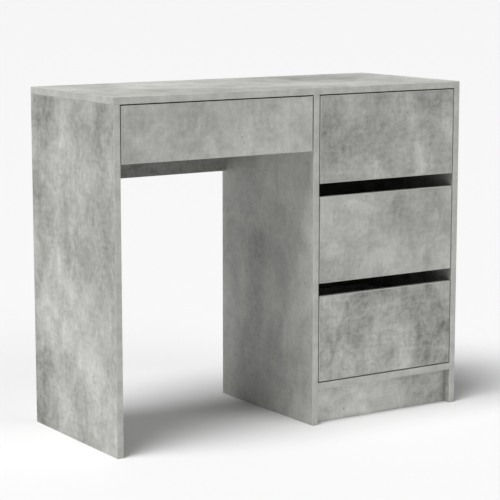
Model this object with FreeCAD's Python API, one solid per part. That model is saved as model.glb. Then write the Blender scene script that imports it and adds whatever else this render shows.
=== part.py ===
"""Pedestal writing desk in 15 mm laminated particle board, built as its flat-pack pieces.

Millimetres. X runs along the desk with the leg at -X and the drawer pedestal at +X, -Y is the front
where one sits, +Z is up. The origin is on the floor at the middle of the desk's footprint.
"""

import FreeCAD
import Part
import os

V = FreeCAD.Vector
X_AXIS = V(1, 0, 0)
Y_AXIS = V(0, 1, 0)
Z_AXIS = V(0, 0, 1)

# ---- overall sizes ----
WIDTH = 900.0
DEPTH = 370.0
HEIGHT = 750.0
BOARD = 15.0                    # particle board of the frame and the drawer fronts
EDGE_ROUND = 0.8                # radius of the banded board edges
EDGE_ROUND_LIMIT = 0.3          # the largest share of a board's thickness that its edge radius takes
KNEEHOLE_WIDTH = 479.0          # clear width between the leg and the partition
PLINTH_HEIGHT = 80.0
PLINTH_RECESS = 20.0
RAIL_HEIGHT = 199.0             # board across the back of the kneehole
BACK_BOARD = 3.0                # thin board behind the pedestal's drawers
BACK_BOARD_INSET = 10.0
BACK_GROOVE_DEPTH = 5.0
GROOVE_CLEARANCE = 0.2

# ---- drawer fronts ----
FRONT_GAP = 3.0                 # reveal round each inset front
FINGER_GAP = 30.0               # opening between the pedestal's fronts, where fingers go in
CENTRE_FRONT_HEIGHT = 119.0
PEDESTAL_DRAWERS = 3

# ---- drawer boxes ----
BOX_BOARD = 12.0
BOX_EDGE_ROUND = 0.5
BOX_BACK_SPACE = 40.0            # from a box to the kneehole rail behind it
BOX_LIFT = 12.0                 # from a front's lower edge up to its box
PEDESTAL_BOX_HEIGHT = 130.0
CENTRE_BOX_HEIGHT = 82.0
BOTTOM_BOARD = 3.0
BOTTOM_LIFT = 10.0              # from the box's lower edge up to its bottom board
BOTTOM_GROOVE_DEPTH = 5.0

# ---- roller runners ----
RUNNER_SPACE = 12.5             # between a box and the frame, on each side
RUNNER_SHEET = 1.2
RUNNER_SETBACK = 2.0            # from the back of a front to the cabinet runner
ROLLER_RADIUS = 8.0
ROLLER_WIDTH = 6.5
ROLLER_INSET = 12.0             # from a runner's end to its roller's axis
ROLLER_GAP = 0.3                # between a roller and the sheet that it rolls on
ROLLER_SIDE_GAP = 0.2
RIVET_RADIUS = 2.0
RIVET_HEAD_RADIUS = 3.5
RIVET_HEAD = 0.6
RIVET_CLEARANCE = 0.05
CHANNEL_SLACK = 1.0             # above the drawer runner's top flange
FLANGE_GAP = 1.5                # between a flange and the other runner's web
DRAWER_WEB_HEIGHT = 24.0

# ---- fasteners ----
SCREW_RADIUS = 1.75
SCREW_HEAD_RADIUS = 3.2
SCREW_HEAD = 1.8
SCREW_CLEARANCE = 0.05
RUNNER_SCREW_LENGTH = 12.0
BOX_RUNNER_SCREW_LENGTH = 10.5
BOTTOM_SCREW_LENGTH = 20.0
BACK_SCREW_RADIUS = 2.5
BACK_SCREW_HEAD_RADIUS = 4.5
BACK_SCREW_HEAD = 3.0
BACK_SCREW_LENGTH = 45.0
DOWEL_RADIUS = 4.0
DOWEL_LENGTH = 30.0
DOWEL_IN_FACE = 10.0            # the part of a dowel that sits in a board's face
DOWEL_END_GAP = 1.0
CAM_REACH = 24.0                # from a joint to its cam disc's centre
CAM_THREAD_RADIUS = 2.9
CAM_THREAD_LENGTH = 10.0
CAM_SHANK_RADIUS = 3.2
CAM_NECK_RADIUS = 2.0
CAM_NECK_LENGTH = 4.0
CAM_HEAD_LENGTH = 3.0
FRAME_DISC_RADIUS = 7.5
FRAME_DISC_PAST_BOLT = 5.0      # from the bolt's axis down to the disc's bottom
BOX_DISC_RADIUS = 6.0
BOX_DISC_PAST_BOLT = 3.5
DISC_SLOT_WIDTH = 1.6
DISC_SLOT_DEPTH = 1.2
DISC_SLOT_REACH = 0.7           # share of the disc's radius that each arm of the cross takes
HOLE_CLEARANCE = 0.1

# ---- places that follow from the sizes ----
LEFT = -WIDTH / 2
RIGHT = WIDTH / 2
FRONT = -DEPTH / 2
BACK = DEPTH / 2
TOP_UNDERSIDE = HEIGHT - BOARD
LEG_INNER = LEFT + BOARD
PARTITION_LEFT = LEG_INNER + KNEEHOLE_WIDTH
PARTITION_RIGHT = PARTITION_LEFT + BOARD
OUTER_SIDE_INNER = RIGHT - BOARD
PEDESTAL_FLOOR = PLINTH_HEIGHT + BOARD
FRONT_BACK_FACE = FRONT + BOARD
BACK_BOARD_Y = BACK - BACK_BOARD_INSET - BACK_BOARD
BOX_LENGTH = BACK - BOARD - BOX_BACK_SPACE - FRONT_BACK_FACE
CHANNEL_FLOOR_LIFT = DRAWER_WEB_HEIGHT - RUNNER_SHEET - ROLLER_GAP - 2 * ROLLER_RADIUS
CHANNEL_HEIGHT = 2 * ROLLER_RADIUS + ROLLER_GAP + RUNNER_SHEET + CHANNEL_SLACK
PEDESTAL_FRONT_HEIGHT = (
    TOP_UNDERSIDE - PEDESTAL_FLOOR - 2 * FRONT_GAP - (PEDESTAL_DRAWERS - 1) * FINGER_GAP
) / PEDESTAL_DRAWERS

# Fastener places along the boards, measured from an end or from the middle.
TOP_CAM_INSET = 55.0            # from the front and back edges, along the depth
TOP_DOWEL_INSET = 100.0
RAIL_LOWER_CAM_INSET = 40.0     # from the rail's lower edge
RAIL_UPPER_CAM_INSET = 68.0     # from the rail's upper edge, clear of the cams in the uprights
FLOOR_CAM_INSET = 65.0
FLOOR_DOWEL_INSET = 120.0
PLINTH_CAM_HEIGHT = 26.0
PLINTH_DOWEL_HEIGHT = 58.0
RUNNER_SCREW_FRONT_INSET = 40.0  # along a cabinet runner, with one more screw halfway
RUNNER_SCREW_REAR_INSET = 45.0
BOX_RUNNER_SCREW_FRONT_INSET = 70.0
BOX_RUNNER_SCREW_REAR_INSET = 75.0
BOX_RUNNER_SCREW_LIFT = 18.5    # from a box's lower edge
BACK_SCREW_INSET = 22.0         # from the box back's upper and lower edges
BOTTOM_SCREW_INSET = 60.0       # from the box back's ends

nodes = {}
cuts = {}


def box(x0, x1, y0, y1, z0, z1):
    """Solid between two corners."""
    return Part.makeBox(x1 - x0, y1 - y0, z1 - z0, V(x0, y0, z0))


def board(x0, x1, y0, y1, z0, z1, edge_round=EDGE_ROUND):
    """A cut board whose twelve edges are eased."""
    plain = box(x0, x1, y0, y1, z0, z1)
    radius = min(edge_round, EDGE_ROUND_LIMIT * min(x1 - x0, y1 - y0, z1 - z0))
    return plain.makeFillet(radius, plain.Edges)


def rod(start, direction, length, radius):
    """Round bar from a point along a unit direction."""
    return Part.makeCylinder(radius, length, start, direction)


def add(name, *solids):
    """Adds solids to a node; a node with several holds them side by side, unjoined."""
    nodes.setdefault(name, []).extend(solids)


def cut(name, tool):
    """Marks a tool to cut from a board or a runner."""
    cuts.setdefault(name, []).append(tool)


def drill(name, start, direction, length, radius):
    cut(name, rod(start, direction, length, radius))


def countersunk_screw(start, direction, length, radius, head_radius, head, grow=0.0):
    """Screw whose flat head lies flush at start; grow makes the hole that clears it."""
    cone = Part.makeCone(head_radius + grow, radius + grow, head, start, direction)
    return cone.fuse(rod(start, direction, length + grow, radius + grow))


def drive_screw(node, through, start, direction, length, radius, head_radius, head):
    """Adds a countersunk screw to a node and its hole to each board that it goes through."""
    add(node, countersunk_screw(start, direction, length, radius, head_radius, head))
    for name in through:
        cut(name, countersunk_screw(
            start, direction, length, radius, head_radius, head, SCREW_CLEARANCE))


def dowel(node, face_board, edge_board, joint, into_edge):
    """Wooden dowel across a butt joint, from a board's face into another board's end."""
    add(node, rod(joint - into_edge * DOWEL_IN_FACE, into_edge, DOWEL_LENGTH, DOWEL_RADIUS))
    hole = DOWEL_RADIUS + HOLE_CLEARANCE
    drill(face_board, joint, -into_edge, DOWEL_IN_FACE + DOWEL_END_GAP, hole)
    drill(edge_board, joint, into_edge, DOWEL_LENGTH - DOWEL_IN_FACE + DOWEL_END_GAP, hole)


def cam_bolt(joint, into_edge):
    """Threaded end in the face board, then shank, neck and head inside the cam disc."""
    shank_length = CAM_REACH - CAM_NECK_LENGTH - CAM_HEAD_LENGTH / 2
    neck_start = joint + into_edge * shank_length
    head_start = neck_start + into_edge * CAM_NECK_LENGTH
    thread = rod(joint - into_edge * CAM_THREAD_LENGTH, into_edge, CAM_THREAD_LENGTH, CAM_THREAD_RADIUS)
    shank = rod(joint, into_edge, shank_length, CAM_SHANK_RADIUS)
    neck = rod(neck_start, into_edge, CAM_NECK_LENGTH, CAM_NECK_RADIUS)
    head = rod(head_start, into_edge, CAM_HEAD_LENGTH, CAM_SHANK_RADIUS)
    return thread.fuse([shank, neck, head]).removeSplitter()


def cam_disc(joint, into_edge, outward, half_board, radius, depth):
    """Round cam sunk in a board's face, open along the bolt, with a cross slot for a screwdriver."""
    centre = joint + into_edge * CAM_REACH
    face = centre + outward * half_board
    disc = rod(face - outward * depth, outward, depth, radius)
    passage_start = centre - into_edge * (radius + HOLE_CLEARANCE)
    passage_length = radius + HOLE_CLEARANCE + CAM_HEAD_LENGTH
    disc = disc.cut(rod(passage_start, into_edge, passage_length, CAM_SHANK_RADIUS + HOLE_CLEARANCE))
    across = into_edge.cross(outward)
    reach = DISC_SLOT_REACH * radius
    for along in (into_edge, across):
        side = outward.cross(along)
        corner = face - outward * DISC_SLOT_DEPTH - along * reach - side * DISC_SLOT_WIDTH / 2
        far = face + outward + along * reach + side * DISC_SLOT_WIDTH / 2
        low = V(min(corner.x, far.x), min(corner.y, far.y), min(corner.z, far.z))
        high = V(max(corner.x, far.x), max(corner.y, far.y), max(corner.z, far.z))
        disc = disc.cut(box(low.x, high.x, low.y, high.y, low.z, high.z))
    return disc


def cam_joint(bolts, discs, face_board, edge_board, joint, into_edge, outward, half_board, radius, past_bolt):
    """Cam bolt and disc that pull an end of edge_board against the face of face_board."""
    depth = half_board + past_bolt
    add(bolts, cam_bolt(joint, into_edge))
    add(discs, cam_disc(joint, into_edge, outward, half_board, radius, depth))
    thread_hole = CAM_THREAD_RADIUS + SCREW_CLEARANCE
    drill(face_board, joint, -into_edge, CAM_THREAD_LENGTH + DOWEL_END_GAP, thread_hole)
    drill(edge_board, joint, into_edge, CAM_REACH + CAM_HEAD_LENGTH, CAM_SHANK_RADIUS + HOLE_CLEARANCE)
    mouth = joint + into_edge * CAM_REACH + outward * half_board
    drill(edge_board, mouth, -outward, depth + HOLE_CLEARANCE, radius + HOLE_CLEARANCE)


def frame_cam(face_board, edge_board, joint, into_edge, outward):
    cam_joint("frame_cam_bolts", "frame_cam_discs", face_board, edge_board, joint, into_edge, outward,
              BOARD / 2, FRAME_DISC_RADIUS, FRAME_DISC_PAST_BOLT)


def frame_dowel(face_board, edge_board, joint, into_edge):
    dowel("frame_dowels", face_board, edge_board, joint, into_edge)


# ---- the frame ----

def make_top():
    add("top_panel", board(LEFT, RIGHT, FRONT, BACK, TOP_UNDERSIDE, HEIGHT))


def make_uprights():
    """Leg, partition and outer side: three boards from the floor to the underside of the top."""
    uprights = (
        ("leg_panel", LEFT, LEG_INNER, X_AXIS),
        ("partition_panel", PARTITION_LEFT, PARTITION_RIGHT, X_AXIS),
        ("outer_side_panel", OUTER_SIDE_INNER, RIGHT, -X_AXIS),
    )
    for name, x0, x1, inner_face in uprights:
        add(name, board(x0, x1, FRONT, BACK, 0, TOP_UNDERSIDE))
        middle = (x0 + x1) / 2
        for y in (FRONT + TOP_CAM_INSET, BACK - TOP_CAM_INSET):
            frame_cam("top_panel", name, V(middle, y, TOP_UNDERSIDE), -Z_AXIS, inner_face)
        for y in (FRONT + TOP_DOWEL_INSET, BACK - TOP_DOWEL_INSET):
            frame_dowel("top_panel", name, V(middle, y, TOP_UNDERSIDE), -Z_AXIS)


def make_kneehole_rail():
    """Board across the back of the kneehole, under the top, which keeps the desk square."""
    low = TOP_UNDERSIDE - RAIL_HEIGHT
    add("kneehole_rail", board(LEG_INNER, PARTITION_LEFT, BACK - BOARD, BACK, low, TOP_UNDERSIDE))
    y = BACK - BOARD / 2
    ends = (("leg_panel", LEG_INNER, X_AXIS), ("partition_panel", PARTITION_LEFT, -X_AXIS))
    for face_board, x, into_rail in ends:
        for z in (low + RAIL_LOWER_CAM_INSET, TOP_UNDERSIDE - RAIL_UPPER_CAM_INSET):
            frame_cam(face_board, "kneehole_rail", V(x, y, z), into_rail, Y_AXIS)
        frame_dowel(face_board, "kneehole_rail", V(x, y, low + RAIL_HEIGHT / 2), into_rail)


def make_pedestal_floor():
    """Shelf under the lowest drawer, on top of the plinth."""
    name = "pedestal_floor"
    add(name, board(PARTITION_RIGHT, OUTER_SIDE_INNER, FRONT, BACK, PLINTH_HEIGHT, PEDESTAL_FLOOR))
    z = PLINTH_HEIGHT + BOARD / 2
    for face_board, x, into_floor in (
        ("partition_panel", PARTITION_RIGHT, X_AXIS), ("outer_side_panel", OUTER_SIDE_INNER, -X_AXIS)):
        for y in (FRONT + FLOOR_CAM_INSET, BACK - FLOOR_CAM_INSET):
            frame_cam(face_board, name, V(x, y, z), into_floor, -Z_AXIS)
        for y in (FRONT + FLOOR_DOWEL_INSET, BACK - FLOOR_DOWEL_INSET):
            frame_dowel(face_board, name, V(x, y, z), into_floor)


def make_plinth():
    """Kick board, set back under the pedestal's floor."""
    front = FRONT + PLINTH_RECESS
    add("plinth_board", board(PARTITION_RIGHT, OUTER_SIDE_INNER, front, front + BOARD, 0, PLINTH_HEIGHT))
    y = front + BOARD / 2
    for face_board, x, into_plinth in (
        ("partition_panel", PARTITION_RIGHT, X_AXIS), ("outer_side_panel", OUTER_SIDE_INNER, -X_AXIS)):
        frame_cam(face_board, "plinth_board", V(x, y, PLINTH_CAM_HEIGHT), into_plinth, Y_AXIS)
        frame_dowel(face_board, "plinth_board", V(x, y, PLINTH_DOWEL_HEIGHT), into_plinth)


def make_back_board():
    """Thin board that closes the pedestal's back, let into grooves in the four boards round it."""
    reach = BACK_GROOVE_DEPTH - GROOVE_CLEARANCE
    sides = (PARTITION_RIGHT - reach, OUTER_SIDE_INNER + reach)
    heights = (PEDESTAL_FLOOR - reach, TOP_UNDERSIDE + reach)
    add("pedestal_back_board", box(*sides, BACK_BOARD_Y, BACK_BOARD_Y + BACK_BOARD, *heights))
    groove = box(
        PARTITION_RIGHT - BACK_GROOVE_DEPTH, OUTER_SIDE_INNER + BACK_GROOVE_DEPTH,
        BACK_BOARD_Y - GROOVE_CLEARANCE, BACK_BOARD_Y + BACK_BOARD + GROOVE_CLEARANCE,
        PEDESTAL_FLOOR - BACK_GROOVE_DEPTH, TOP_UNDERSIDE + BACK_GROOVE_DEPTH)
    for name in ("partition_panel", "outer_side_panel", "top_panel", "pedestal_floor"):
        cut(name, groove)


# ---- roller runners ----

def cabinet_runner(name, wall_x, inward, box_bottom):
    """Channel screwed to the frame, with a rear stop and the rivet of its front roller.

    wall_x is the frame's face, and inward is +1 where the drawer lies at +X of it.
    """
    front = FRONT_BACK_FACE + RUNNER_SETBACK
    back = front + BOX_LENGTH
    floor = box_bottom + CHANNEL_FLOOR_LIFT
    ceiling = floor + CHANNEL_HEIGHT
    reach = RUNNER_SPACE - RUNNER_SHEET - FLANGE_GAP
    web = span_box(wall_x, RUNNER_SHEET, inward, front, back, floor - RUNNER_SHEET, ceiling + RUNNER_SHEET)
    lower = span_box(wall_x, reach, inward, front, back, floor - RUNNER_SHEET, floor)
    upper = span_box(wall_x, reach, inward, front, back, ceiling, ceiling + RUNNER_SHEET)
    stop = span_box(wall_x, reach, inward, back - RUNNER_SHEET, back, floor - RUNNER_SHEET, ceiling)
    rivet = roller_rivet(wall_x + inward * RUNNER_SHEET, inward, front + ROLLER_INSET, floor)
    add(name, web.fuse([lower, upper, stop, rivet]).removeSplitter())


def drawer_runner(name, box_x, outward, box_bottom):
    """Z-shaped rail screwed to a drawer box, with the rivet of its rear roller.

    box_x is the box's outer face, and outward is +1 where the frame lies at +X of it.
    """
    front = FRONT_BACK_FACE
    back = front + BOX_LENGTH
    top = box_bottom + DRAWER_WEB_HEIGHT
    reach = RUNNER_SPACE - RUNNER_SHEET - FLANGE_GAP
    web = span_box(box_x, RUNNER_SHEET, outward, front, back, box_bottom - RUNNER_SHEET, top)
    upper = span_box(box_x, reach, outward, front, back, top - RUNNER_SHEET, top)
    lower = span_box(box_x, BOX_BOARD, -outward, front, back, box_bottom - RUNNER_SHEET, box_bottom)
    floor = box_bottom + CHANNEL_FLOOR_LIFT
    rivet = roller_rivet(box_x + outward * RUNNER_SHEET, outward, back - ROLLER_INSET, floor)
    add(name, web.fuse([upper, lower, rivet]).removeSplitter())


def span_box(x, thickness, direction, y0, y1, z0, z1):
    """Box that runs from x by a thickness towards direction, +1 or -1."""
    far = x + direction * thickness
    return box(min(x, far), max(x, far), y0, y1, z0, z1)


def roller_offset():
    """From a web's face to the near side of the roller beside it, so that the roller runs midway."""
    return (RUNNER_SPACE - 2 * RUNNER_SHEET - ROLLER_WIDTH) / 2


def roller_centre_height(channel_floor):
    return channel_floor + ROLLER_GAP / 2 + ROLLER_RADIUS


def roller_rivet(web_x, direction, y, channel_floor):
    """Pin and head that hold a roller to a web."""
    axis = X_AXIS * direction
    start = V(web_x, y, roller_centre_height(channel_floor))
    length = roller_offset() + ROLLER_WIDTH + ROLLER_SIDE_GAP
    pin = rod(start, axis, length, RIVET_RADIUS)
    head = rod(start + axis * length, axis, RIVET_HEAD, RIVET_HEAD_RADIUS)
    return pin.fuse(head)


def roller(web_x, direction, y, channel_floor):
    """Plastic wheel that turns on a rivet."""
    axis = X_AXIS * direction
    start = V(web_x, y, roller_centre_height(channel_floor)) + axis * roller_offset()
    wheel = rod(start, axis, ROLLER_WIDTH, ROLLER_RADIUS - ROLLER_GAP / 2)
    wheel = wheel.makeFillet(RIVET_HEAD, [e for e in wheel.Edges if e.Curve.TypeId == "Part::GeomCircle"])
    return wheel.cut(rod(start, axis, ROLLER_WIDTH, RIVET_RADIUS + RIVET_CLEARANCE))


# ---- drawers ----

def make_drawer(name, left_wall, right_wall, left_board, right_board, low, high, box_height):
    """One drawer between two frame boards, with its fixings, runners and rollers.

    low and high are its front's lower and upper edges.
    """
    make_front(name, left_wall + FRONT_GAP, right_wall - FRONT_GAP, low, high)
    bottom = low + BOX_LIFT
    top = bottom + box_height
    sides = (
        ("left", left_wall, left_wall + RUNNER_SPACE, 1, left_board),
        ("right", right_wall, right_wall - RUNNER_SPACE, -1, right_board),
    )
    for side, wall, outer_face, inward, frame_board in sides:
        make_box_side(name, side, outer_face, inward, bottom, top)
        make_side_runners(name, side, wall, outer_face, inward, frame_board, bottom)
    inner_left = left_wall + RUNNER_SPACE + BOX_BOARD
    inner_right = right_wall - RUNNER_SPACE - BOX_BOARD
    make_box_back(name, inner_left, inner_right, bottom, top)
    make_box_bottom(name, inner_left, inner_right, bottom)


def make_front(name, x0, x1, z0, z1):
    add(name + "_front", board(x0, x1, FRONT, FRONT_BACK_FACE, z0, z1))


def make_box_side(name, side, outer_face, inward, bottom, top):
    """Side board, held to the front by a cam and to the back by two screws."""
    node = f"{name}_{side}_side"
    inner_face = outer_face + inward * BOX_BOARD
    x0, x1 = sorted((outer_face, inner_face))
    back = FRONT_BACK_FACE + BOX_LENGTH
    add(node, board(x0, x1, FRONT_BACK_FACE, back, bottom, top, BOX_EDGE_ROUND))
    joint = V((x0 + x1) / 2, FRONT_BACK_FACE, (bottom + DRAWER_WEB_HEIGHT + top) / 2)
    cam_joint(name + "_fixings", name + "_fixings", name + "_front", node, joint, Y_AXIS, X_AXIS * inward,
              BOX_BOARD / 2, BOX_DISC_RADIUS, BOX_DISC_PAST_BOLT)
    back_low = bottom + BOTTOM_LIFT + BOTTOM_BOARD
    for z in (back_low + BACK_SCREW_INSET, top - BACK_SCREW_INSET):
        drive_screw(name + "_fixings", (node, name + "_back"), V(outer_face, back - BOX_BOARD / 2, z),
                    X_AXIS * inward, BACK_SCREW_LENGTH, BACK_SCREW_RADIUS,
                    BACK_SCREW_HEAD_RADIUS, BACK_SCREW_HEAD)


def make_side_runners(name, side, wall, outer_face, inward, frame_board, bottom):
    """Cabinet runner, drawer runner, their screws and rollers on one side of a drawer."""
    cabinet_node = f"{name}_{side}_cabinet_runner"
    drawer_node = f"{name}_{side}_drawer_runner"
    channel_floor = bottom + CHANNEL_FLOOR_LIFT
    front = FRONT_BACK_FACE + RUNNER_SETBACK
    cabinet_runner(cabinet_node, wall, inward, bottom)
    drawer_runner(drawer_node, outer_face, -inward, bottom)
    axle_height = roller_centre_height(channel_floor)
    for inset in (RUNNER_SCREW_FRONT_INSET, BOX_LENGTH / 2, BOX_LENGTH - RUNNER_SCREW_REAR_INSET):
        drive_screw("runner_screws", (cabinet_node, frame_board),
                    V(wall + inward * RUNNER_SHEET, front + inset, axle_height), X_AXIS * -inward,
                    RUNNER_SCREW_LENGTH, SCREW_RADIUS, SCREW_HEAD_RADIUS, SCREW_HEAD)
    screw_height = bottom + BOX_RUNNER_SCREW_LIFT
    for inset in (BOX_RUNNER_SCREW_FRONT_INSET, BOX_LENGTH - BOX_RUNNER_SCREW_REAR_INSET):
        drive_screw(name + "_fixings", (drawer_node, f"{name}_{side}_side"),
                    V(outer_face - inward * RUNNER_SHEET, FRONT_BACK_FACE + inset, screw_height),
                    X_AXIS * inward, BOX_RUNNER_SCREW_LENGTH, SCREW_RADIUS, SCREW_HEAD_RADIUS, SCREW_HEAD)
    add(name + "_cabinet_rollers",
        roller(wall + inward * RUNNER_SHEET, inward, front + ROLLER_INSET, channel_floor))
    add(name + "_drawer_rollers",
        roller(outer_face - inward * RUNNER_SHEET, -inward, FRONT_BACK_FACE + BOX_LENGTH - ROLLER_INSET,
               channel_floor))


def make_box_back(name, x0, x1, bottom, top):
    """Back board, which stands on the bottom board between the sides."""
    back = FRONT_BACK_FACE + BOX_LENGTH
    low = bottom + BOTTOM_LIFT + BOTTOM_BOARD
    add(name + "_back", board(x0, x1, back - BOX_BOARD, back, low, top, BOX_EDGE_ROUND))


def make_box_bottom(name, x0, x1, bottom):
    """Thin bottom board in grooves of the front and both sides, open at the back."""
    reach = BOTTOM_GROOVE_DEPTH - GROOVE_CLEARANCE
    low = bottom + BOTTOM_LIFT
    back = FRONT_BACK_FACE + BOX_LENGTH
    add(name + "_bottom", box(x0 - reach, x1 + reach, FRONT_BACK_FACE - reach, back, low, low + BOTTOM_BOARD))
    for x in (x0 + BOTTOM_SCREW_INSET, x1 - BOTTOM_SCREW_INSET):
        drive_screw(name + "_fixings", (name + "_bottom", name + "_back"), V(x, back - BOX_BOARD / 2, low),
                    Z_AXIS, BOTTOM_SCREW_LENGTH, SCREW_RADIUS, SCREW_HEAD_RADIUS, SCREW_HEAD)
    groove = box(x0 - BOTTOM_GROOVE_DEPTH, x1 + BOTTOM_GROOVE_DEPTH, FRONT_BACK_FACE - BOTTOM_GROOVE_DEPTH,
                 back + 1, low - GROOVE_CLEARANCE, low + BOTTOM_BOARD + GROOVE_CLEARANCE)
    for part in ("_front", "_left_side", "_right_side"):
        cut(name + part, groove)


def make_drawers():
    """One wide drawer over the kneehole, and the pedestal's drawers from the top down."""
    high = TOP_UNDERSIDE - FRONT_GAP
    make_drawer("centre_drawer", LEG_INNER, PARTITION_LEFT, "leg_panel", "partition_panel",
                high - CENTRE_FRONT_HEIGHT, high, CENTRE_BOX_HEIGHT)
    for number, name in enumerate(("upper_drawer", "middle_drawer", "lower_drawer")):
        top = high - number * (PEDESTAL_FRONT_HEIGHT + FINGER_GAP)
        make_drawer(name, PARTITION_RIGHT, OUTER_SIDE_INNER, "partition_panel", "outer_side_panel",
                    top - PEDESTAL_FRONT_HEIGHT, top, PEDESTAL_BOX_HEIGHT)


def write_parts():
    """Cuts each board and writes each node's solids to its own file."""
    os.makedirs("parts", exist_ok=True)
    for name, solids in sorted(nodes.items()):
        tools = cuts.get(name)
        if tools:
            solids = solids[0].cut(tools).Solids
        shape = solids[0] if len(solids) == 1 else Part.makeCompound(solids)
        if not shape.isValid():
            raise ValueError(name + " isn't a valid shape")
        shape.exportStep(f"parts/{name}.step")
    print(len(nodes), "nodes")


make_top()
make_uprights()
make_kneehole_rail()
make_pedestal_floor()
make_plinth()
make_back_board()
make_drawers()
write_parts()
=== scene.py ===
import math

import bmesh
import bpy
import numpy as np
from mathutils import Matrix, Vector


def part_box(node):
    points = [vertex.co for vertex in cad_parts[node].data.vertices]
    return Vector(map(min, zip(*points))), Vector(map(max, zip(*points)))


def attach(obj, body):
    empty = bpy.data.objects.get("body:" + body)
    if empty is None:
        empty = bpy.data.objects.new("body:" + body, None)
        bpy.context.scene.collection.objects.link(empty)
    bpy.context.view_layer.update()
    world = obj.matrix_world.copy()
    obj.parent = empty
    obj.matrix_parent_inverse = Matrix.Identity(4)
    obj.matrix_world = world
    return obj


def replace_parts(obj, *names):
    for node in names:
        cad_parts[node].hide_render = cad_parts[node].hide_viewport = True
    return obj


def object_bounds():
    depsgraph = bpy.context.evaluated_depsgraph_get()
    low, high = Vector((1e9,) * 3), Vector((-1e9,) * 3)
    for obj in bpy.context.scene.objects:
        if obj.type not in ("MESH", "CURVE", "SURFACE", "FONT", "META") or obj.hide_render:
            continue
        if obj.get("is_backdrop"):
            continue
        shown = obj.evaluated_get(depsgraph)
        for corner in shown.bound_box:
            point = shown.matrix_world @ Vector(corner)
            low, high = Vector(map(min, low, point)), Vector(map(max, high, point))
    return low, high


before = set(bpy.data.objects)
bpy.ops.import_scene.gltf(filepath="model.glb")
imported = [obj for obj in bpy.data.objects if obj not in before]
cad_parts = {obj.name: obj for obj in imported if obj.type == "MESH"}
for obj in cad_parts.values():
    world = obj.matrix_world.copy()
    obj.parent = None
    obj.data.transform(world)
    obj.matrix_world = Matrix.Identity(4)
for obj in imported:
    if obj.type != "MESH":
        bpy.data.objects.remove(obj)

cad_low, cad_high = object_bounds()


# ---- top panel ----
# A 15 mm particle board under a printed concrete-look laminate, which covers the frame and the fronts alike.
# It lies flush on the uprights, held from below by cams and dowels, with its print running along the desk.
# A plastic band is glued round its four cut edges, trimmed flush and rounded over.

PRINT_DARK = (0.13, 0.132, 0.122, 1.0)
PRINT_LIGHT = (0.78, 0.784, 0.748, 1.0)
PRINT_PIT = (0.12, 0.121, 0.112, 1.0)
PIT_SHARE = 0.5                 # of its full colour, that a pit takes on
HAIRLINE_SHARE = 0.35
PRINT_RELIEF = 0.00006          # of the print's highest grain over its pits
EDGE_RUB = 0.22                 # how far the print fades at a face's outline
RAW_ROUGHER = 0.3               # added to the roughness on a raw end
RAW_RELIEF = 3.0                # of the chips, against the print's own relief
CHIP_DARK = (0.20, 0.135, 0.075, 1.0)
CHIP_LIGHT = (0.56, 0.43, 0.28, 1.0)
BAND_DARK = (0.43, 0.432, 0.41, 1.0)
BAND_LIGHT = (0.54, 0.542, 0.518, 1.0)
BAND_RUBBED = (0.66, 0.662, 0.64, 1.0)
EDGE_ROUND = 0.0008             # of a banded edge
BAND_PROUD = 0.00012            # of the board that it is glued to
BAND_WRAP = 0.0007              # how far it shows on a board's faces
BAND_END_GAP = 0.00015          # from a strip's end to its neighbour
CORNER_STEPS = 6                # points on each rounded corner
SAME_PLACE = 1e-7               # points nearer than this, such as those of a pole, become one
SHARP_ANGLE = math.radians(38)  # between faces, over which their edge is drawn sharp
ALONG_X = (0.0, math.radians(-90), 0.0)                 # turns of the print, which runs along Z as it is
ALONG_Z = (0.0, 0.0, 0.0)
X, Y, Z = 0, 1, 2
AXES = np.eye(3)


def place(tree, kind, sockets=None, **settings):
    """Adds a shader node, with its properties and with values or links on its input sockets."""
    node = tree.nodes.new("ShaderNode" + kind)
    for key, value in settings.items():
        setattr(node, key, value)
    for key, value in (sockets or {}).items():
        if isinstance(value, bpy.types.NodeSocket):
            tree.links.new(value, node.inputs[key])
        else:
            node.inputs[key].default_value = value
    return node


def calc(tree, operation, *values, **settings):
    """Output of a Math node on numbers or sockets."""
    return place(tree, "Math", dict(enumerate(values)), operation=operation, **settings).outputs[0]


def noise(tree, vector, scale, detail, roughness=0.5, distortion=0.0):
    """Noise with its scale in features per metre and its detail in finer layers, from about 0.25 to 0.75."""
    sockets = {"Vector": vector, "Scale": scale, "Detail": detail, "Roughness": roughness,
               "Distortion": distortion}
    return place(tree, "TexNoise", sockets).outputs["Fac"]


def ramp(tree, value, low, high, to_low=0.0, to_high=1.0):
    """Smooth step of a value from one range to another, held at the ends."""
    sockets = {"Value": value, "From Min": low, "From Max": high, "To Min": to_low, "To Max": to_high}
    return place(tree, "MapRange", sockets, interpolation_type="SMOOTHSTEP").outputs["Result"]


def blend(tree, factor, first, second):
    """Mix of two colours."""
    return place(tree, "Mix", {0: factor, 6: first, 7: second}, data_type="RGBA").outputs[2]


def stretch(tree, vector, factors):
    """Vector scaled along each axis; a factor under 1 draws a pattern out along that axis."""
    return place(tree, "VectorMath", {0: vector, 1: factors}, operation="MULTIPLY").outputs[0]


def bump(tree, height, depth):
    """Normal from a height from 0 to 1 that stands for a depth in metres."""
    return place(tree, "Bump", {"Height": height, "Distance": depth, "Strength": 1.0}).outputs[0]


def own_place(tree):
    """Coordinates in metres on the piece itself."""
    return tree.nodes.new("ShaderNodeTexCoord").outputs["Object"]


def own_wear(tree):
    """The wear that a piece's mesh carries at each point, from 0 to 1."""
    return place(tree, "Attribute", attribute_name="wear").outputs["Fac"]


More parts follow.
